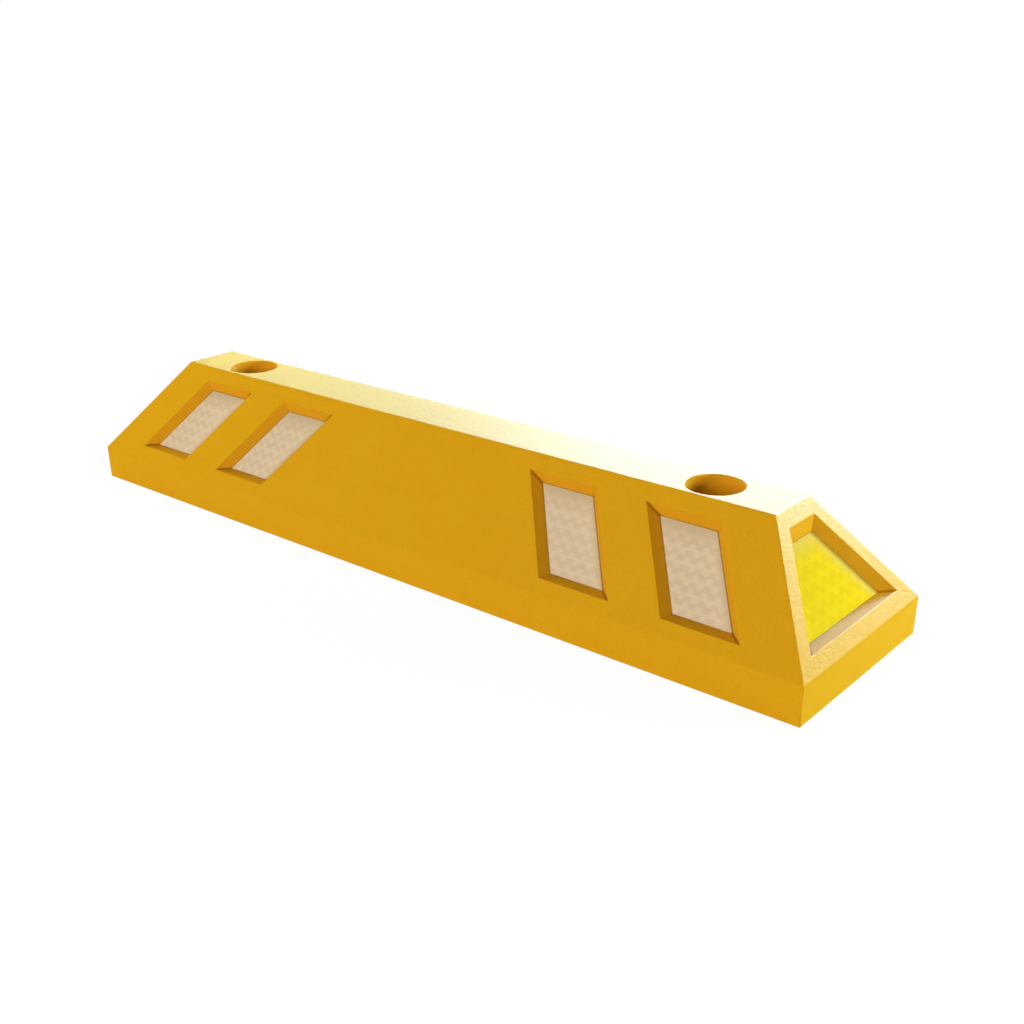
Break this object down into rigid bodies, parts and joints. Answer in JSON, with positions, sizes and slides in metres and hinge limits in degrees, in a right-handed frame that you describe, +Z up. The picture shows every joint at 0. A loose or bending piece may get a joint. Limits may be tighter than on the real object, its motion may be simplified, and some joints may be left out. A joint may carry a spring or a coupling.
{
  "type": "flexible lane divider",
  "caption": "Low moulded rubber road block with a hipped top, recessed reflector panels in its sloping faces and two deep anchor wells in its flat top.",
  "frame": {"origin": "middle of the underside, on the road surface, halfway between the two anchor wells", "axes": "+X along the block from the left well to the right well as the front long face is looked at, +Y from the front long face to the rear one, +Z up from the road"},
  "size_m": [1, 0.233, 0.15],
  "materials": {
    "body_rubber": "self-coloured yellow moulded rubber with a fine leather grain",
    "side_sheeting": "off-white prismatic reflective sheeting with a fine cell pattern",
    "end_sheeting": "yellow prismatic reflective sheeting with a fine cell pattern",
    "backing_plate": "plain rolled sheet",
    "bush_steel": "zinc-plated, dull"
  },
  "bodies": {
    "root": {"body": "body_rubber", "front_reflector_1": "side_sheeting", "front_reflector_2": "side_sheeting", "front_reflector_3": "side_sheeting", "front_reflector_4": "side_sheeting", "rear_reflector_1": "side_sheeting", "rear_reflector_2": "side_sheeting", "rear_reflector_3": "side_sheeting", "rear_reflector_4": "side_sheeting", "front_backing_plate_1": "backing_plate", "front_backing_plate_2": "backing_plate", "front_backing_plate_3": "backing_plate", "front_backing_plate_4": "backing_plate", "rear_backing_plate_1": "backing_plate", "rear_backing_plate_2": "backing_plate", "rear_backing_plate_3": "backing_plate", "rear_backing_plate_4": "backing_plate", "right_end_reflector": "end_sheeting", "left_end_reflector": "end_sheeting", "right_end_backing_plate": "backing_plate", "left_end_backing_plate": "backing_plate", "left_anchor_bush": "bush_steel", "right_anchor_bush": "bush_steel"}
  },
  "joints": []
}
